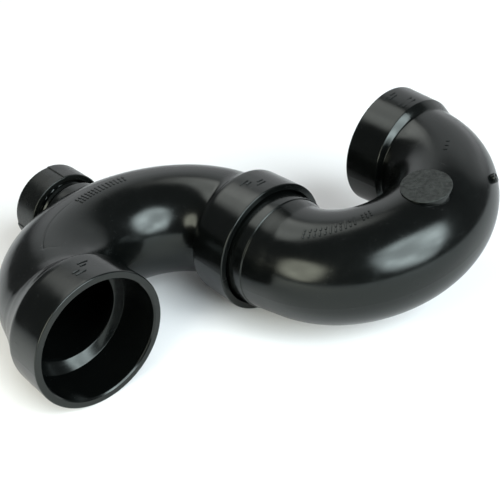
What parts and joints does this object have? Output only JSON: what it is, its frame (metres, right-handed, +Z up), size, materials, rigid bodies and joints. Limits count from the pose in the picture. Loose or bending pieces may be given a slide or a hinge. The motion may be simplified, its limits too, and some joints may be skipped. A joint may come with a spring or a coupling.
{
  "type": "p trap",
  "caption": "Black plastic drain trap: a U bend with sockets and a screw-cap cleanout, and a return bend whose spigot turns in the U bend's outlet socket.",
  "frame": {"origin": "on the surface that the trap lies on, under the middle of its outline", "axes": "+X along the row of the three sockets, from the inlet to the outlet; +Y along the legs, towards the cleanout cap; +Z up, away from the surface it lies on"},
  "size_m": [0.214, 0.159, 0.069],
  "materials": {
    "black_abs": "semi-gloss injection-moulded black ABS",
    "cap_abs": "satin injection-moulded black ABS",
    "washer_rubber": "matt black rubber"
  },
  "bodies": {
    "trap_bend": {"trap_bend": "black_abs"},
    "outlet_bend": {"outlet_bend": "black_abs"},
    "cleanout_washer": {"cleanout_washer": "washer_rubber"},
    "cleanout_cap": {"cleanout_cap": "cap_abs"}
  },
  "joints": [
    {"name": "outlet_swivel", "type": "hinge", "parent": "trap_bend", "child": "outlet_bend", "pos_m": [0.00529, -0.01315, 0.0275], "axis": [0, -1, 0], "range_deg": [-146.5, 123.5]},
    {"name": "cap_travel", "type": "slide", "parent": "trap_bend", "child": "cleanout_washer", "axis": [0, 1, 0], "range_m": [0, 0.009]},
    {"name": "cap_unscrew", "type": "hinge", "parent": "cleanout_washer", "child": "cleanout_cap", "pos_m": [-0.03871, 0.04065, 0.0275], "axis": [0, 1, 0], "range_deg": [0, 1080]}
  ],
  "couplings": [
    {"joint": "cap_travel", "follows": "cap_unscrew", "m_per_rad": 0.00047746}
  ]
}
